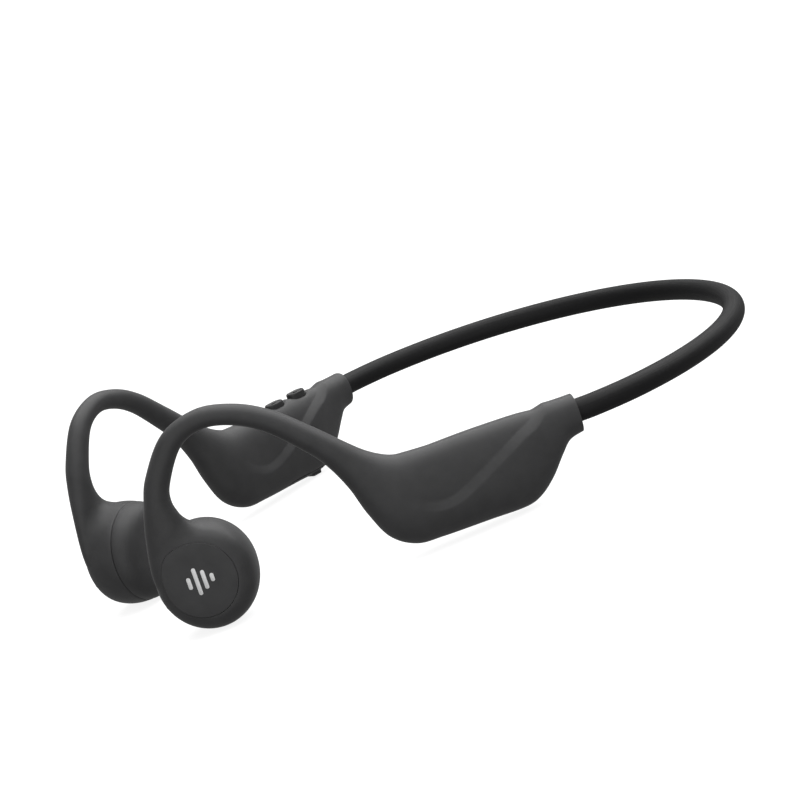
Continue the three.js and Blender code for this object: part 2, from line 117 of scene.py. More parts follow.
# The outer (upper) edge, the inner (lower) edge, half the thickness and the squareness of each
# section, from inside the pod, over the ear hook, to beyond the collar's end.
ARM_STATIONS = [
    (-93.0, -11.5, -85.5, -11.5, 2.3, 2),
    (-93.9, -4.0, -84.9, -4.0, 2.6, 2),
    (-92.4, 5.2, -84.0, 5.0, 2.75, 2),
    (-90.6, 11.4, -85.0, 10.2, 2.75, 2),
    (-88.3, 16.9, -83.9, 14.3, 2.6, 2),
    (-82.5, 24.3, -79.5, 20.7, 2.35, 2),
    (-74.6, 27.3, -74.2, 22.9, 2.2, 2),
    (-66.8, 26.0, -68.4, 21.8, 2.2, 2),
    (-59.9, 22.3, -62.7, 18.5, 2.35, 2),
    (-53.3, 16.4, -57.1, 12.8, 2.65, 2),
    (-49.2, 12.3, -53.3, 7.9, 2.95, 2),
    (-45.2, 8.4, -50.3, 1.6, 3.4, 2.05),
    (-42.0, 6.1, -48.3, -5.0, 4.1, 2.1),
    (-39.3, 5.0, -45.4, -11.2, 4.7, 2.2),
    (-36.5, 4.95, -40.6, -14.5, 5.0, 2.3),
    (-33.0, 5.05, -34.5, -15.05, 5.15, 2.35),
    (-24.0, 5.1, -24.5, -15.25, 5.3, 2.35),
    (-16.0, 4.9, -16.4, -15.4, 5.2, 2.35),
    (-12.0, 4.7, -12.6, -14.3, 4.8, 2.35),
    (-8.5, 4.3, -9.0, -11.5, 4.2, 2.4),
    (-5.3, 3.95, -5.6, -7.6, 3.75, 2.4),
    (-3.0, 3.85, -3.2, -5.3, 3.5, 2.3),
    (0.0, 3.8, 0.1, -4.5, 3.35, 2.3),
    (3.0, 3.75, 3.4, -4.0, 3.25, 2.3),
]
SECTION_STEPS = 24

# Rows between which the housing is hollow, how steeply the hollow's two ends close, and how many
# of the grid's steps its own coarser grid takes.
CAVITY_FROM = 13
CAVITY_TO = 21
CAVITY_END_SLOPES = (3.5, 2.5)
CAVITY_COARSENESS = 3

# Middle line of the slanted step across the housing, from above the top edge to the belly.
STEP_LINE = [
    (-6.2, 9.0), (-6.6, 6.0), (-7.3, 4.1), (-8.4, 2.55), (-10.2, 1.25), (-13.6, 0.05),
    (-19.1, -2.5), (-23.85, -4.8), (-28.05, -6.75), (-31.15, -7.65), (-33.75, -7.65),
    (-36.1, -7.0), (-38.5, -5.5), (-42.0, -2.0), (-46.0, 3.0),
]
STEP_HALF_WIDTH = 1.0
STEP_DEPTH = 0.85
STEP_FADES = (-42.0, -31.0)


# ---- places ----

def design_to_row(x, y, z):
    """Places in the design's frame to the row frame, in metres."""
    cos, sin = math.cos(REST_PITCH), math.sin(REST_PITCH)
    moved = np.stack([x, y * cos + z * sin, z * cos - y * sin], -1)
    return (moved + REST_PLACE) * MM


def arm_to_row(side, along, up, out):
    """Places on an arm, as arrays, to the row frame.

    side is 1 for the wearer's left arm and -1 for the right.
    """
    ahead = HOOK_BEND_AT - along
    root = np.hypot(ahead, HOOK_BEND_ROUND)
    slope = HOOK_LEAN / 2 * (1 + ahead / root)
    length = np.hypot(1, slope)
    outward = -HOOK_LEAN / 2 * (ahead + root) + out / length
    rearward = along - out * slope / length
    x = side * (COLLAR_X + outward * math.cos(TOE_IN) + rearward * math.sin(TOE_IN))
    y = COLLAR_Y - outward * math.sin(TOE_IN) + rearward * math.cos(TOE_IN)
    return design_to_row(x, y, np.asarray(up, float))


def pod_to_row(side, across, up, out):
    """Places measured from the pod's axis, across being rearwards in the pod's own flat plane."""
    ahead = HOOK_BEND_AT - POD_ALONG
    root = math.hypot(ahead, HOOK_BEND_ROUND)
    slope = HOOK_LEAN / 2 * (1 + ahead / root)
    length = math.hypot(1, slope)
    outward = -HOOK_LEAN / 2 * (ahead + root) + (out + across * slope) / length
    rearward = POD_ALONG + (across - out * slope) / length
    x = side * (COLLAR_X + outward * math.cos(TOE_IN) + rearward * math.sin(TOE_IN))
    y = COLLAR_Y - outward * math.sin(TOE_IN) + rearward * math.cos(TOE_IN)
    return design_to_row(x, y, np.asarray(POD_UP + up, float))


def spline(points, steps):
    """A smooth line through points, with steps between each pair."""
    points = np.asarray(points, float)
    ends = np.vstack([2 * points[0] - points[1], points, 2 * points[-1] - points[-2]])
    made = []
    for k in range(len(points) - 1):
        a, b, c, d = ends[k:k + 4]
        for t in np.arange(steps) / steps:
            made.append(0.5 * (
                2 * b + (c - a) * t + (2 * a - 5 * b + 4 * c - d) * t ** 2
                + (3 * b - a - 3 * c + d) * t ** 3))
    made.append(points[-1])
    return np.array(made)


# ---- meshes ----

def piece(name, points, faces, material, slot, smooth_angle=40):
    """An object from points in metres and closed faces, shaded smooth up to an angle in degrees."""
    mesh = bpy.data.meshes.new(name)
    mesh.from_pydata(np.asarray(points).tolist(), [], [list(f) for f in faces])
    mesh.validate()
    mesh.shade_smooth()
    mesh.set_sharp_from_angle(angle=math.radians(smooth_angle))
    made = bpy.data.objects.new(name, mesh)
    bpy.context.scene.collection.objects.link(made)
    if material is not None:
        mesh.materials.append(material)
    return made


def turned_over(faces):
    return [tuple(reversed(f)) for f in faces]


def loft(rings, closed_ends=True):
    """Points and faces of a skin through rings of equal length, each an array of points."""
    count = len(rings[0])
    faces = []
    for row in range(len(rings) - 1):
        for k in range(count):
            a, b = row * count + k, row * count + (k + 1) % count
            faces.append((a, b, b + count, a + count))
    if closed_ends:
        last = (len(rings) - 1) * count
        faces.append(tuple(range(count - 1, -1, -1)))
        faces.append(tuple(range(last, last + count)))
    return np.vstack(rings), faces


def facing_out(points, faces):
    """The faces, turned over if together they face inwards."""
    volume = 0.0
    for f in faces:
        for k in range(1, len(f) - 1):
            a, b, c = points[f[0]], points[f[k]], points[f[k + 1]]
            volume += float(np.dot(a, np.cross(b, c)))
    return faces if volume > 0 else turned_over(faces)


def turned(side, profile, segments=96):
    """A solid turned about the pod's axis.

    Its profile, of (radius, out), starts and ends on the axis.
    """
    angles = np.arange(segments) * 2 * math.pi / segments
    first, last = profile[0], profile[-1]
    rings = []
    for r, out in profile[1:-1]:
        across = r * POD_NARROWING * np.cos(angles)
        rings.append(pod_to_row(side, across, r * np.sin(angles), np.full(segments, out)))
    points, faces = loft(rings, closed_ends=False)
    poles = [pod_to_row(side, 0.0, 0.0, out) for out in (first[1], last[1])]
    points = np.vstack([points, *poles])
    start, end = len(points) - 2, len(points) - 1
    for k in range(segments):
        following = (k + 1) % segments
        base = (len(rings) - 1) * segments
        faces.append((start, following, k))
        faces.append((end, base + k, base + following))
    return points, facing_out(points, faces)


def swept(path, radius, sides, bore=0.0, lead=0):
    """Points and faces of a round tube along path, whose points are in metres.

    The bore, if any, is open at both ends. The first points of path, as many as lead, only give
    the direction that the tube starts in.
    """
    ahead = np.gradient(path, axis=0)[lead:]
    path = np.asarray(path)[lead:]
    ahead /= np.linalg.norm(ahead, axis=1)[:, None]
    across = np.cross(ahead, (0, 0, 1))
    across /= np.linalg.norm(across, axis=1)[:, None]
    above = np.cross(across, ahead)
    angles = np.arange(sides) * 2 * math.pi / sides
    circle = np.cos(angles)[None, :, None] * across[:, None]
    circle = circle + np.sin(angles)[None, :, None] * above[:, None]
    outer = list(path[:, None] + circle * radius * MM)
    if bore == 0:
        points, faces = loft(outer)
        return points, facing_out(points, faces)
    inner = list(path[:, None] + circle * bore * MM)
    rings = outer + inner[::-1]
    points, faces = loft(rings, closed_ends=False)
    last = (len(rings) - 1) * sides
    for k in range(sides):
        following = (k + 1) % sides
        faces.append((last + k, last + following, following, k))
    return points, facing_out(points, faces)


# ---- distance fields: negative inside, in millimetres ----

def smooth_min(a, b, reach):
    share = np.clip(0.5 + 0.5 * (b - a) / reach, 0, 1)
    return b + (a - b) * share - reach * share * (1 - share)


def smooth_max(a, b, reach):
    return -smooth_min(-a, -b, reach)


def smooth_step(low, high, value):
    share = np.clip((value - low) / (high - low), 0, 1)
    return share * share * (3 - 2 * share)


def slopes_of(field, step):
    slopes = np.stack(np.gradient(field, step))
    return slopes, np.maximum(np.sqrt((slopes ** 2).sum(0)), 0.02)


def as_distance(field, step):
    return field / slopes_of(field, step)[1]


def line_distance(x, y, line, closed=False):
    """Distance to a line of points, positive to its left, or positive outside a closed outline."""
    line = np.asarray(line, float)
    ends = np.roll(line, -1, axis=0) if closed else line[1:]
    starts = line if closed else line[:-1]
    best = np.full(np.shape(x), 1e9)
    sign = np.ones(np.shape(x))
    inside = np.zeros(np.shape(x), bool)
    for (ax, ay), (bx, by) in zip(starts, ends):
        dx, dy = bx - ax, by - ay
        share = np.clip(((x - ax) * dx + (y - ay) * dy) / (dx * dx + dy * dy), 0, 1)
        distance = np.hypot(x - ax - share * dx, y - ay - share * dy)
        nearer = distance < best
        best = np.where(nearer, distance, best)
        if closed:
            if ay != by:
                crossing = ax + (y - ay) / (by - ay) * dx
                inside ^= ((ay > y) != (by > y)) & (x < crossing)
        else:
            sign = np.where(nearer, np.sign(dx * (y - ay) - dy * (x - ax)), sign)
    return best * (np.where(inside, -1, 1) if closed else sign)


def section_places(along, up):
    """The section that each place in the arm's sheet lies in.

    That is its station, counted in rows, the place's height in it from -1 to 1, half its
    thickness and its squareness.
    """
    edges = spline(ARM_STATIONS, SECTION_STEPS)
    middle = (edges[:, 0:2] + edges[:, 2:4]) / 2
    reach = (edges[:, 0:2] - edges[:, 2:4]) / 2
    station = np.zeros(along.shape)
    height = np.full(along.shape, 9.0)
    before = None
    for k in range(len(edges)):
        size = reach[k] @ reach[k]
        da, du = along - middle[k, 0], up - middle[k, 1]
        here = (da * reach[k, 0] + du * reach[k, 1]) / size
        side = (da * reach[k, 1] - du * reach[k, 0]) / math.sqrt(size)
        if before is not None:
            share = before[1] / np.where(before[1] == side, 1, before[1] - side)
            crossing = before[0] + share * (here - before[0])
            better = (before[1] * side <= 0) & (np.abs(crossing) < np.abs(height))
            height = np.where(better, crossing, height)
            station = np.where(better, k - 1 + share, station)
        before = (here, side)
    rows = np.arange(len(edges))
    half = np.interp(station, rows, edges[:, 4])
    squareness = np.interp(station, rows, edges[:, 5])
    return station / SECTION_STEPS, height, half, squareness


def step_recess(along, up):
    """How far the housing's upper front lies below its lower rear."""
    past = -line_distance(along, up, spline(STEP_LINE, 4))
    ramp = np.clip((past + STEP_HALF_WIDTH) / (2 * STEP_HALF_WIDTH), 0, 1)
    return STEP_DEPTH * ramp * smooth_step(*STEP_FADES, along)


POD_PROFILE = [
    (0.0, 3.9), (3.0, 3.72), (6.0, 3.25), (8.2, 2.68), (9.6, 2.0), (10.6, 1.0), (11.2, -0.4),
    (11.52, -2.2), (11.55, -4.0), (11.35, -5.8), (11.1, -7.0), (10.7, -9.0),
]


def pod_field(along, up, out):
    """The pod's rounded shell, whose inner side carries on below the seam.

    along and up are given over the arm's sheet, and out as a line of values.
    """
    stretch = math.hypot(1, HOOK_LEAN * LEAN_AT_POD)
    radius = np.hypot((along - POD_ALONG) * stretch / POD_NARROWING, up - POD_UP)
    outline = spline(POD_PROFILE, 6).tolist() + [(0.0, POD_PROFILE[-1][1])]
    outline = [(-r, o) for r, o in outline[-2:0:-1]] + outline
    radii = np.arange(0, radius.max() + 0.2, 0.1)
    table = line_distance(*np.meshgrid(radii, out, indexing="ij"), outline, closed=True)
    return np.stack([np.interp(radius, radii, table[:, k]) for k in range(len(out))], -1)


def pill_field(along, out, at):
    radius = VOLUME_BUTTON["width"] / 2
    reach = (VOLUME_BUTTON["length"] - VOLUME_BUTTON["width"]) / 2
    return np.hypot(np.maximum(np.abs(along - at) - reach, 0), out) - radius


def port_field(along, out):
    """Distance to the rounded rectangle of the charging cover."""
    half = ((PORT["to"] - PORT["from"]) / 2, PORT["half_width"])
    da = np.abs(along - (PORT["to"] + PORT["from"]) / 2) - half[0] + PORT["corner"]
    do = np.abs(out) - half[1] + PORT["corner"]
    corner = np.hypot(np.maximum(da, 0), np.maximum(do, 0))
    return corner + np.minimum(np.maximum(da, do), 0) - PORT["corner"]


def grid(low, high, step):
    """Three arrays of along, up and out over a box."""
    axes = [np.arange(a, b + step / 2, step) for a, b in zip(low, high)]
    return [a.astype(np.float32) for a in np.meshgrid(*axes, indexing="ij")]


def arm_field(along, up, out, step):
    """The stem, ear hook and housing, and the station of each place."""
    station, height, half, squareness = section_places(along[:, :, 0], up[:, :, 0])
    across = np.abs(out) / half[:, :, None]
    square = squareness[:, :, None]
    ratio = (np.abs(height)[:, :, None] ** square + across ** square) ** (1 / square) - 1
    return as_distance(ratio, step), station


def outside_field(along, up, out, step):
    """The whole outside of an arm, before any hole, and the station of each place."""
    arm, station = arm_field(along, up, out, step)
    arm = arm + step_recess(along[:, :, 0], up[:, :, 0])[:, :, None]
    pod = pod_field(along[:, :, 0], up[:, :, 0], out[0, 0])
    arm_slopes, arm_steepness = slopes_of(arm, step)
    pod_slopes, pod_steepness = slopes_of(pod, step)
    agreement = (arm_slopes * pod_slopes).sum(0) / (arm_steepness * pod_steepness)
    reach = POD_FILLET * np.clip(1 - agreement, 0, 1) * smooth_step(*POD_FILLET_FADES, up)
    whole = smooth_min(arm, pod, np.maximum(reach, 0.01))
    whole = smooth_max(whole, POD_SEAM - out, SEAM_ROUND)
    at_pod = np.where(along < POD_END, out - POD_FACE, -9.0)
    whole = smooth_max(whole, at_pod, FACE_ROUND)
    return np.maximum(whole, along - 1), arm, station


def surface(field, low, step):
    """The zero level of a field as points in grid units of mm, and quads facing out."""
    inside = field < 0
    shape = np.array(field.shape) - 1
    counts = np.zeros(shape, int)
    corners = [(i, j, k) for i in (0, 1) for j in (0, 1) for k in (0, 1)]
    part = {c: tuple(slice(c[n], c[n] + shape[n]) for n in range(3)) for c in corners}
    for c in corners:
        counts += inside[part[c]]
    active = (counts > 0) & (counts < 8)
    number = np.full(shape, -1)
    number[active] = np.arange(active.sum())
    total = np.zeros((active.sum(), 3))
    crossings = np.zeros(active.sum())
    for c in corners:
        for axis in range(3):
            if c[axis] == 1:
                continue
            d = tuple(1 if n == axis else c[n] for n in range(3))
            a, b = field[part[c]][active], field[part[d]][active]
            crossed = (a < 0) != (b < 0)
            share = np.where(crossed, a / np.where(a == b, 1, a - b), 0)
            place = np.tile(np.array(c, float), (len(a), 1))
            place[:, axis] += share
            total += place * crossed[:, None]
            crossings += crossed
    points = np.argwhere(active) + total / crossings[:, None]
    faces = []
    for axis in range(3):
        u, v = (axis + 1) % 3, (axis + 2) % 3
        ends = [slice(None)] * 3
        starts = [slice(None)] * 3
        starts[axis], ends[axis] = slice(0, -1), slice(1, None)
        changes = inside[tuple(starts)] != inside[tuple(ends)]
        cells = np.argwhere(changes)
        cells = cells[(cells[:, u] > 0) & (cells[:, v] > 0)]
        cells = cells[(cells[:, u] < shape[u]) & (cells[:, v] < shape[v])]
        falls = inside[tuple(starts)][tuple(cells.T)]
        around = []
        for du, dv in ((0, 0), (1, 0), (1, 1), (0, 1)):
            cell = cells.copy()
            cell[:, u] -= du
            cell[:, v] -= dv
            around.append(number[tuple(cell.T)])
        quads = np.stack(around, 1)
        quads[~falls] = quads[~falls][:, ::-1]
        faces.append(quads)
    faces = np.vstack(faces)
    points = settle(field, points, faces)
    return points * step + np.asarray(low), faces


def sample(field, points):
    """The field and its slope at points in grid units, between the grid's values."""
    points = np.clip(points, 0, np.array(field.shape) - 1.001)
    cell = np.floor(points).astype(int)
    share = points - cell
    value = np.zeros(len(points))
    slope = np.zeros((len(points), 3))
    for i in (0, 1):
        for j in (0, 1):
            for k in (0, 1):
                at = field[cell[:, 0] + i, cell[:, 1] + j, cell[:, 2] + k]
                weights = [share[:, n] if c else 1 - share[:, n] for n, c in enumerate((i, j, k))]
                value += at * weights[0] * weights[1] * weights[2]
                for n, c in enumerate((i, j, k)):
                    others = [weights[m] for m in range(3) if m != n]
                    slope[:, n] += at * (1 if c else -1) * others[0] * others[1]
    return value, slope


def settle(field, points, faces, rounds=2):
    """Evens out the points and brings each back to the zero level."""
    for _ in range(rounds):
        total = np.zeros_like(points)
        count = np.zeros(len(points))
        for a, b in ((0, 1), (1, 2), (2, 3), (3, 0)):
            for start, end in ((a, b), (b, a)):
                np.add.at(total, faces[:, start], points[faces[:, end]])
                np.add.at(count, faces[:, start], 1)
        points = points + 0.5 * (total / count[:, None] - points)
        for _ in range(2):
            value, slope = sample(field, points)
            steep = np.maximum((slope ** 2).sum(1), 1e-6)
            move = slope * (value / steep)[:, None]
            points = points - np.clip(move, -0.5, 0.5)
    return points


# ---- materials ----

def new_material(name):
    material = bpy.data.materials.new(name)
    material.use_nodes = True
    nodes = material.node_tree.nodes
    shader = next(n for n in nodes if n.type == "BSDF_PRINCIPLED")
    return material, nodes, material.node_tree.links, shader


def noise(nodes, links, coordinate, scale, detail=3.0, roughness=0.6):
    """A noise texture read from a coordinate socket."""
    texture = nodes.new("ShaderNodeTexNoise")
    texture.inputs["Scale"].default_value = scale
    texture.inputs["Detail"].default_value = detail
    texture.inputs["Roughness"].default_value = roughness
    links.new(coordinate, texture.inputs["Vector"])
    return texture.outputs["Fac"]


def between(nodes, links, value, low, high, from_low=0.3, from_high=0.7):
    """A value socket mapped from a noise's usual range to another."""
    spread = nodes.new("ShaderNodeMapRange")
    spread.inputs["From Min"].default_value = from_low
    spread.inputs["From Max"].default_value = from_high
    spread.inputs["To Min"].default_value = low
    spread.inputs["To Max"].default_value = high
    links.new(value, spread.inputs["Value"])
    return spread.outputs["Result"]


def mixed(nodes, links, value, first, second):
    """A colour between two, by a value socket."""
    ramp = nodes.new("ShaderNodeMix")
    ramp.data_type = "RGBA"
    ramp.inputs["A"].default_value = (*first, 1)
    ramp.inputs["B"].default_value = (*second, 1)
    links.new(value, ramp.inputs["Factor"])
    return ramp.outputs["Result"]


def bumped(nodes, links, shader, *layers):
    """Bump on a shader from layers of (height socket, depth in metres)."""
    normal = None
    for height, depth in layers:
        bump = nodes.new("ShaderNodeBump")
        bump.inputs["Distance"].default_value = depth
        links.new(height, bump.inputs["Height"])
        if normal is not None:
            links.new(normal, bump.inputs["Normal"])
        normal = bump.outputs["Normal"]
    links.new(normal, shader.inputs["Normal"])


GLOSS_SPREAD = 0.06
SHEEN_ROUGHNESS = 0.45


def grainy(
        name, dark, light, roughness, grain, depth,
        sheen=0.0, metallic=0.0, specular=0.5, attribute=None):
    """A moulded or rolled surface: two close colours, uneven gloss and a fine grain."""
    material, nodes, links, shader = new_material(name)
    source = nodes.new("ShaderNodeTexCoord").outputs["Object"]
    if attribute is not None:
        stored = nodes.new("ShaderNodeAttribute")
        stored.attribute_name = attribute
        source = stored.outputs["Vector"]
    broad = noise(nodes, links, source, grain * 0.06, 2.0, 0.5)
    fine = noise(nodes, links, source, grain, 4.0, 0.65)
    tint = between(nodes, links, broad, 0.0, 1.0)
    links.new(mixed(nodes, links, tint, dark, light), shader.inputs["Base Color"])
    gloss = between(nodes, links, fine, roughness - GLOSS_SPREAD, roughness + GLOSS_SPREAD)
    links.new(gloss, shader.inputs["Roughness"])
    shader.inputs["Metallic"].default_value = metallic
    shader.inputs["Specular IOR Level"].default_value = specular
    if sheen > 0:
        shader.inputs["Sheen Weight"].default_value = sheen
        shader.inputs["Sheen Roughness"].default_value = SHEEN_ROUGHNESS
    bumped(nodes, links, shader, (fine, depth))
    return material


SILICONE = grainy(
    "silicone", (0.030, 0.030, 0.031), (0.037, 0.037, 0.038), 0.50, 5200, 0.00002, sheen=0.12)
SLEEVE = grainy(
    "sleeve", (0.006, 0.006, 0.0065), (0.012, 0.012, 0.0125), 0.52, 3.0, 0.00006,
    specular=0.22, attribute="along_tube")
CASING = grainy("casing", (0.020, 0.020, 0.022), (0.032, 0.032, 0.034), 0.5, 2500, 0.00003)
RUBBER = grainy("rubber", (0.020, 0.020, 0.021), (0.027, 0.027, 0.028), 0.38, 6000, 0.00002)
STEEL = grainy(
    "steel", (0.42, 0.43, 0.44), (0.58, 0.58, 0.57), 0.3, 1800, 0.00001, metallic=1.0)
TITANIUM = grainy(
    "titanium", (0.30, 0.31, 0.32), (0.42, 0.42, 0.43), 0.34, 2400, 0.00001, metallic=1.0)
COPPER = grainy(
    "copper", (0.50, 0.17, 0.06), (0.72, 0.32, 0.14), 0.32, 2600, 0.00003, metallic=1.0)
BOARD = grainy("board", (0.006, 0.07, 0.022), (0.012, 0.11, 0.035), 0.4, 1400, 0.00002)
CHIP = grainy("chip", (0.008, 0.008, 0.009), (0.016, 0.016, 0.018), 0.45, 4000, 0.00002)
POUCH = grainy(
    "pouch", (0.42, 0.43, 0.44), (0.60, 0.61, 0.62), 0.35, 900, 0.00006, metallic=0.8)
CABLE = grainy("cable", (0.020, 0.022, 0.026), (0.034, 0.036, 0.042), 0.5, 3000, 0.00002)
PRINT = grainy("print", (0.78, 0.78, 0.78), (0.88, 0.88, 0.88), 0.5, 5200, 0.00001)

BY_SLOT = {
    "silicone": SILICONE, "sleeve": SLEEVE, "casing": CASING, "steel": STEEL,
    "titanium": TITANIUM, "copper": COPPER, "board": BOARD, "chip": CHIP, "pouch": POUCH,
    "rubber": RUBBER, "cable": CABLE,
}


def dress_cad_nodes():
    """Gives every CAD node the finish of its slot in the record."""
    for part in frame["record"]["subparts"]:
        material = BY_SLOT[part["material_slot"]]
        node = frame["nodes"][part["node"]]
        node.data.materials.clear()
        node.data.materials.append(material)


# ---- the arms ----

ARM_LOW = (-96.6, -20.4, -8.1)
ARM_HIGH = (2.1, 29.4, 6.3)


def cut_away(target, cutters):
    """Takes cutters, which are removed, out of target."""
    for cutter in cutters:
        modifier = target.modifiers.new("cut", "BOOLEAN")
        modifier.operation = "DIFFERENCE"
        modifier.solver = "MANIFOLD"
        modifier.object = cutter
    bpy.context.view_layer.update()
    graph = bpy.context.evaluated_depsgraph_get()
    cut = bpy.data.meshes.new_from_object(target.evaluated_get(graph))
    target.modifiers.clear()
    target.data = cut
    for cutter in cutters:
        bpy.data.objects.remove(cutter)


def hook_line(side, from_row, to_row):
    """The middle line of the ear hook in the row frame."""
    edges = spline(ARM_STATIONS, 4)[from_row * 4:to_row * 4 + 1]
    middle = (edges[:, 0:2] + edges[:, 2:4]) / 2
    return arm_to_row(side, middle[:, 0], middle[:, 1], np.zeros(len(middle)))


POD_CAVITY = [
    (0, 1.5), (8.4, 1.5), (9.6, 0.2), (10.1, -1.8), (10.0, -8.0), (0, -8.0),
]


def collar_cutters(side):
    """What trims the collar square at its end and bores it for the sleeve."""
    across = (-COLLAR_TRIM["half_width"], COLLAR_TRIM["half_width"])
    box = np.meshgrid((0, COLLAR_TRIM["length"]), across, across, indexing="ij")
    along, up, out = [values.ravel() for values in box]
    faces = [(0, 1, 3, 2), (4, 6, 7, 5), (0, 4, 5, 1), (2, 3, 7, 6), (0, 2, 6, 4), (1, 5, 7, 3)]
    corners = arm_to_row(side, along, up, out)
    trim = piece("trim", corners, facing_out(corners, faces), None, None)
    line = arm_to_row(side, np.linspace(-COLLAR_HOLE_DEPTH, 2, 5), np.zeros(5), np.zeros(5))
    return [trim, piece("hole", *swept(line, COLLAR_HOLE, 64), None, None)]


def right_holes(field, along, up, out):
    """The right arm's field with wells for the volume buttons and the charging cover."""
    for at in (VOLUME_UP_AT, VOLUME_DOWN_AT):
        pill = pill_field(along, out, at) - SEAM
        near = 1 - smooth_step(*DIMPLE_REACH, pill)
        dimple = DIMPLE_DEPTH * near * smooth_step(*DIMPLE_FADES, up)
        well = np.maximum(pill, VOLUME_WELL_FLOOR - up)
        field = smooth_max(field + dimple, -well, HOLE_ROUND)
    port = np.maximum(port_field(along, out) - SEAM, up - PORT["roof"] - SEAM)
    return smooth_max(field, -port, HOLE_ROUND)


def housing_cavity(arm, station):
    """Points and faces of the hollow in the housing, in arm coordinates."""
    front = (CAVITY_FROM - station)[:, :, None] * CAVITY_END_SLOPES[0]
    rear = (station - CAVITY_TO)[:, :, None] * CAVITY_END_SLOPES[1]
    cavity = np.maximum(np.maximum(arm + SKIN_WALL, front), rear)
    each = slice(None, None, CAVITY_COARSENESS)
    return surface(cavity[each, each, each], ARM_LOW, STEP * CAVITY_COARSENESS)


def arm_skins():
    """The two silicone skins, each hollow where other pieces go."""
    along, up, out = grid(ARM_LOW, ARM_HIGH, STEP)
    whole, arm, station = outside_field(along, up, out, STEP)
    right = right_holes(whole, along, up, out)
    cavity_points, cavity_faces = housing_cavity(arm, station)

    for side, name, field in ((1, "left", whole), (-1, "right", right)):
        points, faces = surface(field, ARM_LOW, STEP)
        skin = arm_object(side, f"{name}_skin", points, faces, SILICONE, "silicone")
        chamber = arm_object(side, "chamber", cavity_points, cavity_faces, None, None)
        pod_room = piece("pod_room", *turned(side, POD_CAVITY, 64), None, None)
        line = hook_line(side, 1, CAVITY_FROM + 1)
        bore = piece("bore", *swept(line, HOOK_BORE, 20), None, None)
        cutters = [chamber, pod_room, bore, *collar_cutters(side)]
        if side > 0:
            points, faces = loft([oval_ring(-SEAM, out) for out in BUTTON_HOLE])
            cutters.append(piece("button_hole", points, facing_out(points, faces), None, None))
        cut_away(skin, cutters)
        skin.data.shade_smooth()
        skin.data.set_sharp_from_angle(angle=math.radians(40))
        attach(skin, f"{name}_arm")
        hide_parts(f"{name}_arm_skin")


def arm_object(side, name, points, faces, material, slot):
    """A mesh in arm coordinates, placed on one arm."""
    placed = arm_to_row(side, points[:, 0], points[:, 1], points[:, 2])
    return piece(name, placed, faces if side > 0 else faces[:, ::-1], material, slot)


# ---- the transducer caps ----

CONTACT_CAP = [
    (0.0, -10.3), (7.6, -10.2), (9.0, -9.4), (9.8, -8.2), (9.95, -7.25), (10.05, -7.14),
    (10.95, -7.12), (11.05, -7.2), (11.02, -7.6), (10.8, -8.4), (10.4, -9.2), (9.75, -10.0),
    (8.9, -10.65), (7.9, -11.08), (6.8, -11.32), (5.4, -11.4), (2.5, -11.4), (0.0, -11.4),
]


def contact_caps():
    for side, name in ((1, "left"), (-1, "right")):
        cap = piece(f"{name}_cheek_cap", *turned(side, CONTACT_CAP), SILICONE, "silicone", 50)
        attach(cap, f"{name}_arm")
        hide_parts(f"{name}_contact_cap")


# ---- buttons ----

def oval_ring(inset, out, count=128):
    """A ring round the button's outline, an oval with a firmer upper front corner."""
    angles = np.arange(count) * 2 * math.pi / count
    from_corner = (angles - BUTTON_CORNER["angle"]) / BUTTON_CORNER["spread"]
    swell = 1 + BUTTON_CORNER["swell"] * np.exp(-from_corner ** 2)
    along = BUTTON_OVAL["along"] + (BUTTON_OVAL["half_length"] * swell - inset) * np.cos(angles)
    up = BUTTON_OVAL["up"] + (BUTTON_OVAL["half_height"] * swell - inset) * np.sin(angles)
    return arm_to_row(1, along, up, np.full(count, out))


# Rings of the button from its inner to its outer face: inset from its outline, and out.
BUTTON_RINGS = [
    (0, 1.1), (0, 2.66), (0.02, 2.74), (0.07, 2.78), (0.15, 2.8), (3, 2.8), (6, 2.8),
]


def multifunction_button():
    points, faces = loft([oval_ring(*ring) for ring in BUTTON_RINGS])
    button = piece("pod_button", points, facing_out(points, faces), SILICONE, "silicone", 50)
    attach(button, "multifunction_button")
    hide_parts("multifunction_button")


# Each bar's place along the button's face, and half its height.
MARK_BARS = ((-2.4, 1.3), (-0.8, 3.0), (0.8, 2.1), (2.4, 0.9))
MARK_BAR_RADIUS = 0.42
MARK_RINGS = ((0, 2.79), (0, 2.83), (0.03, 2.85))


def button_mark():
    """Four rounded upright bars, printed on the button."""
    for number, (across, half_height) in enumerate(MARK_BARS):
        rings = []
        for inset, out in MARK_RINGS:
            angles = np.arange(32) * 2 * math.pi / 32
            radius = MARK_BAR_RADIUS - inset
            along = BUTTON_OVAL["along"] + across + radius * np.cos(angles)
            ends = np.where(np.sin(angles) >= 0, 1, -1) * (half_height - MARK_BAR_RADIUS)
            up = BUTTON_OVAL["up"] + radius * np.sin(angles) + ends
            rings.append(arm_to_row(1, along, up, np.full(32, out)))
        points, faces = loft(rings)
        outward = facing_out(points, faces)
        bar = piece(f"button_mark_{number + 1}", points, outward, PRINT, "rubber", 50)
        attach(bar, "multifunction_button")


def pill_ring(
        at, inset, up, length=VOLUME_BUTTON["length"], width=VOLUME_BUTTON["width"], count=48):
    """A ring round a pill shape that lies along the right arm."""
    angles = np.arange(count) * 2 * math.pi / count
    radius = width / 2 - inset
    ends = np.where(np.cos(angles) >= 0, 1, -1) * (length - width) / 2
    along = at + radius * np.cos(angles) + ends
    return arm_to_row(-1, along, np.full(count, up), radius * np.sin(angles))


SIGN_REACH = 0.62
SIGN_HALF_WIDTH = 0.13
SIGN_HEIGHTS = (4.5, 4.72)


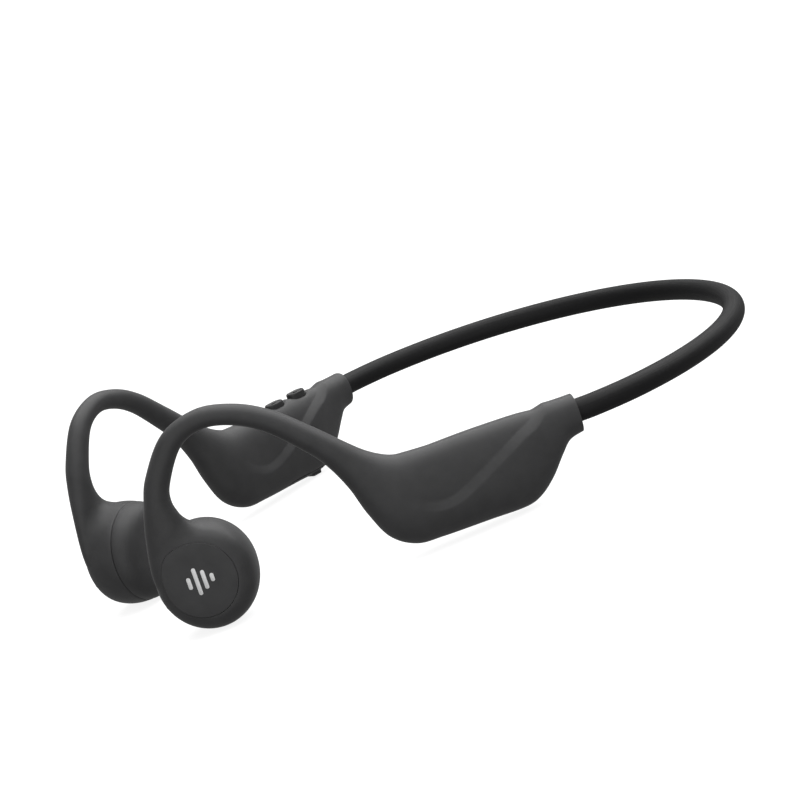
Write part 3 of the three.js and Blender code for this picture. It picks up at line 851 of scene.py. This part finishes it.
def sign_rings(at, arms):
    """A raised minus, or a plus if there are four arms."""
    long, thin = SIGN_REACH, SIGN_HALF_WIDTH
    if arms == 2:
        corners = [(-long, -thin), (long, -thin), (long, thin), (-long, thin)]
    else:
        corners = [
            (-long, -thin), (-thin, -thin), (-thin, -long),
            (thin, -long), (thin, -thin), (long, -thin),
            (long, thin), (thin, thin), (thin, long),
            (-thin, long), (-thin, thin), (-long, thin),
        ]
    along, out = np.array(corners).T
    return [arm_to_row(-1, at + along, np.full(len(along), up), out) for up in SIGN_HEIGHTS]


# Rings of a volume button from its foot to its recessed top: inset from its outline, and up.
VOLUME_RINGS = [
    (0, 1.5), (0, 4.35), (0.03, 4.56), (0.1, 4.7), (0.2, 4.78), (0.32, 4.8), (0.42, 4.77),
    (0.52, 4.68), (0.66, 4.6), (1.0, 4.57),
]


def volume_buttons():
    for name, at, arms in (("volume_up", VOLUME_UP_AT, 4), ("volume_down", VOLUME_DOWN_AT, 2)):
        points, faces = loft([pill_ring(at, *ring) for ring in VOLUME_RINGS])
        cap = piece(f"{name}_cap", points, facing_out(points, faces), RUBBER, "rubber", 60)
        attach(cap, f"{name}_button")
        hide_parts(f"{name}_button")
        points, faces = loft(sign_rings(at, arms))
        mark = piece(f"{name}_mark", points, facing_out(points, faces), RUBBER, "rubber", 30)
        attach(mark, f"{name}_button")


# ---- the charging port ----

COVER_LOW = (-27.6, -16.5, -3.3)
COVER_HIGH = (-15.4, -13.6, 3.3)
COVER_STEP = 0.15


def charge_cover():
    along, up, out = grid(COVER_LOW, COVER_HIGH, COVER_STEP)
    arm, _ = arm_field(along, up, out, COVER_STEP)
    plate = smooth_max(arm, port_field(along, out), 0.2)
    plate = smooth_max(plate, up - PORT["roof"], 0.1)
    lip_to = PORT["to"] - COVER_LIP["inset"]
    lip_sides = [
        lip_to - COVER_LIP["length"] - along, along - lip_to,
        COVER_LIP["bottom"] - up, up - COVER_LIP["top"],
        np.abs(out) - COVER_LIP["half_width"],
    ]
    lip = lip_sides[0]
    for face in lip_sides[1:]:
        lip = smooth_max(lip, face, 0.25)
    points, faces = surface(smooth_min(plate, lip, 0.2), COVER_LOW, COVER_STEP)
    cover = arm_object(-1, "port_cover", points, faces, RUBBER, "rubber")
    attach(cover, "charge_port_cover")
    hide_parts("charge_port_cover")


SOCKET_RINGS = [(0, -6.0), (0, -12.1), (0.08, -12.2), (0.22, -12.2), (0.3, -12.1), (0.3, -6.9)]
TONGUE_RINGS = [(0.1, -6.7), (0, -6.8), (0, -11.3), (0.06, -11.5), (0.16, -11.6)]


def charge_socket():
    middle = (PORT["from"] + PORT["to"]) / 2
    points, faces = loft([pill_ring(middle, *ring, **SOCKET) for ring in SOCKET_RINGS])
    shell = piece("socket_shell", points, facing_out(points, faces), STEEL, "steel")
    points, faces = loft([pill_ring(middle, *ring, **TONGUE) for ring in TONGUE_RINGS])
    tongue = piece("socket_tongue", points, facing_out(points, faces), CHIP, "chip")
    for made in (shell, tongue):
        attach(made, "right_arm")
    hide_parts("charge_connector")


# ---- the neckband ----

# The band's line has a point every 7.5 degrees, with 8 steps between them. It starts two points
# beyond the rear centre, so that both halves meet there in the same direction.
BAND_ANGLES = np.radians(np.linspace(-15, 90, 15))
BAND_STEPS = 8
BAND_LEAD = 2 * BAND_STEPS
STREAK_SHORTENING = 0.03


def band_side(side, depth, height):
    """The band's middle line on one side, from beyond the rear centre into the collar."""
    x = BAND_RADIUS * np.sin(BAND_ANGLES)
    y = BAND_CENTRE_Y + BAND_RADIUS * np.cos(BAND_ANGLES)
    reach = np.array([BAND_STRAIGHT, 0, -depth])
    x = np.append(x, COLLAR_X + reach * math.sin(TOE_IN))
    y = np.append(y, COLLAR_Y + reach * math.cos(TOE_IN))
    line = spline(np.stack([x, y], -1), BAND_STEPS)
    return design_to_row(side * line[:, 0], line[:, 1], np.full(len(line), height))


def along_tube(made, side, path, sides):
    """Stores for each point its place round and, much shortened, along the tube."""
    steps = np.linalg.norm(np.diff(path, axis=0), axis=1)
    length = side * np.append(0, np.cumsum(steps)) / MM
    length = np.append(length, length[::-1])
    angles = np.tile(np.arange(sides) * 2 * math.pi / sides, len(length))
    places = np.stack([
        SLEEVE_RADIUS * side * np.cos(angles), SLEEVE_RADIUS * np.sin(angles),
        np.repeat(length * STREAK_SHORTENING, sides),
    ], -1)
    attribute = made.data.attributes.new("along_tube", "FLOAT_VECTOR", "POINT")
    attribute.data.foreach_set("vector", places.ravel())


# Each tube's radius, bore, sides, height above the middle line, depth in the collar and finish.
BAND_TUBES = {
    "sleeve": (SLEEVE_RADIUS, SLEEVE_BORE, 56, 0, SLEEVE_IN_COLLAR, SLEEVE, "sleeve"),
    "wire": (WIRE_RADIUS, 0, 20, -WIRE_OFFSET, WIRE_IN_COLLAR, TITANIUM, "titanium"),
    "cable": (CABLE_RADIUS, 0, 20, WIRE_OFFSET, CABLE_IN_COLLAR, CABLE, "cable"),
}


def neckband():
    for name, (radius, bore, sides, height, depth, material, slot) in BAND_TUBES.items():
        for side, hand in ((1, "left"), (-1, "right")):
            path = band_side(side, depth, height)
            points, faces = swept(path, radius, sides, bore, BAND_LEAD)
            made = piece(f"{name}_{hand}_half", points, faces, material, slot, 50)
            if name == "sleeve":
                along_tube(made, side, path[BAND_LEAD:], sides)
            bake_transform(made)
            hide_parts(f"neckband_{name}_{hand}", f"neckband_{name}_rear")


# ---- camera, light and floor ----

CAMERA_PLACE = (0.518416, -0.238459, 0.154705)
CAMERA_RIGHT = (0.460261, 0.816750, -0.347965)
CAMERA_UP = (-0.047887, 0.414217, 0.908917)
CAMERA_BACK = (0.886491, -0.401676, 0.229759)


def add_camera():
    data = bpy.data.cameras.new("camera")
    data.lens = 117
    data.sensor_width = 36
    camera = bpy.data.objects.new("camera", data)
    turn = Matrix((CAMERA_RIGHT, CAMERA_UP, CAMERA_BACK)).transposed()
    camera.matrix_world = Matrix.Translation(CAMERA_PLACE) @ turn.to_4x4()
    data.clip_start = 0.01
    data.clip_end = 200
    bpy.context.scene.collection.objects.link(camera)
    bpy.context.scene.camera = camera


def add_sun(name, direction, strength, spread):
    """A soft light from a direction, in degrees of spread."""
    data = bpy.data.lights.new(name, "SUN")
    data.energy = strength
    data.angle = math.radians(spread)
    light = bpy.data.objects.new(name, data)
    light.rotation_mode = "QUATERNION"
    light.rotation_quaternion = Vector(direction).to_track_quat("Z", "Y")
    bpy.context.scene.collection.objects.link(light)


FLOOR_REACH = 60


def add_stage():
    """The white floor, the studio's even light and its two soft suns."""
    far = FLOOR_REACH
    corners = [(-far, -far, 0), (far, -far, 0), (far, far, 0), (-far, far, 0)]
    mesh = bpy.data.meshes.new("floor")
    mesh.from_pydata(corners, [], [(0, 1, 2, 3)])
    floor = bpy.data.objects.new("floor", mesh)
    bpy.context.scene.collection.objects.link(floor)
    material, _, _, shader = new_material("floor")
    shader.inputs["Base Color"].default_value = (0.30, 0.30, 0.30, 1)
    shader.inputs["Roughness"].default_value = 0.9
    shader.inputs["Specular IOR Level"].default_value = 0.1
    shader.inputs["Emission Color"].default_value = (1, 1, 1, 1)
    shader.inputs["Emission Strength"].default_value = 0.86
    mesh.materials.append(material)
    floor.visible_diffuse = False
    floor.visible_glossy = False

    world = bpy.data.worlds.new("studio")
    bpy.context.scene.world = world
    world.use_nodes = True
    background = next(n for n in world.node_tree.nodes if n.type == "BACKGROUND")
    background.inputs["Color"].default_value = (1, 1, 1, 1)
    background.inputs["Strength"].default_value = 0.28
    add_sun("key", (-0.05, 0.38, 0.92), 3.6, 90)
    add_sun("fill", (0.80, -0.55, 0.25), 0.85, 90)
    bpy.context.scene.view_settings.view_transform = "Standard"


# ---- everything ----

add_camera()
add_stage()
dress_cad_nodes()
neckband()
arm_skins()
contact_caps()
multifunction_button()
button_mark()
volume_buttons()
charge_cover()
charge_socket()
